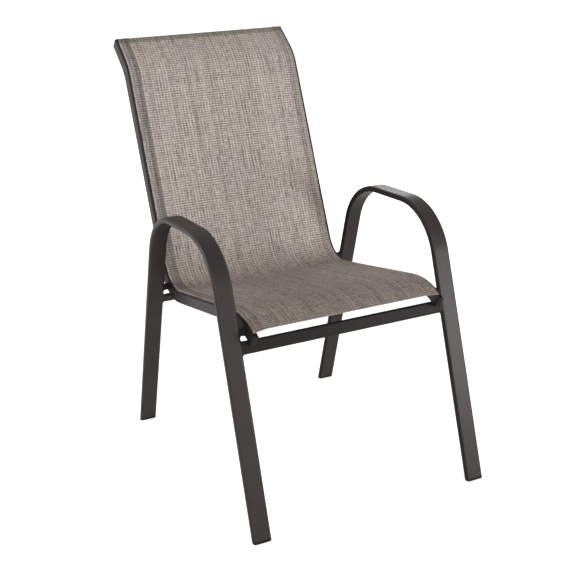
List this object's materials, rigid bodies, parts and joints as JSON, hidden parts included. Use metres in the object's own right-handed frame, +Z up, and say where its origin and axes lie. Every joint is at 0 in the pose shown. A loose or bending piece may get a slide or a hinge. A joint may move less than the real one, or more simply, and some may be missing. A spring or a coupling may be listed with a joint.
{
  "type": "stacking sling patio chair",
  "caption": "Stacking patio armchair with bent flat-oval tube side frames and a fabric sling stretched between slotted side rails.",
  "frame": {"origin": "on the floor, at the centre of the chair's bounding box seen from above", "axes": "+Z up; the chair faces -Y; +X is the picture's right when the chair is seen from the front"},
  "size_m": [0.56, 0.809, 0.9387],
  "materials": {
    "frame_paint": "dark brown powder coat on steel tube, satin",
    "sling_fabric": "woven coated yarn in mixed taupe, grey and brown, matt",
    "black_plastic": "moulded, satin",
    "hem_rod_plastic": "extruded"
  },
  "bodies": {
    "root": {"back_spreader_tube": "frame_paint", "foot_cap_front_left": "black_plastic", "foot_cap_front_right": "black_plastic", "foot_cap_rear_left": "black_plastic", "foot_cap_rear_right": "black_plastic", "front_cross_tube": "frame_paint", "front_rail_stub_left": "frame_paint", "front_rail_stub_right": "frame_paint", "hem_rod_left": "hem_rod_plastic", "hem_rod_right": "hem_rod_plastic", "rail_cap_front_left": "black_plastic", "rail_cap_front_right": "black_plastic", "rail_cap_top_left": "black_plastic", "rail_cap_top_right": "black_plastic", "rear_cross_tube": "frame_paint", "rear_rail_stub_left": "frame_paint", "rear_rail_stub_right": "frame_paint", "side_frame_left": "frame_paint", "side_frame_right": "frame_paint", "sling": "sling_fabric", "sling_rail_left": "frame_paint", "sling_rail_right": "frame_paint", "spreader_plug_left": "black_plastic", "spreader_plug_right": "black_plastic"}
  },
  "joints": []
}
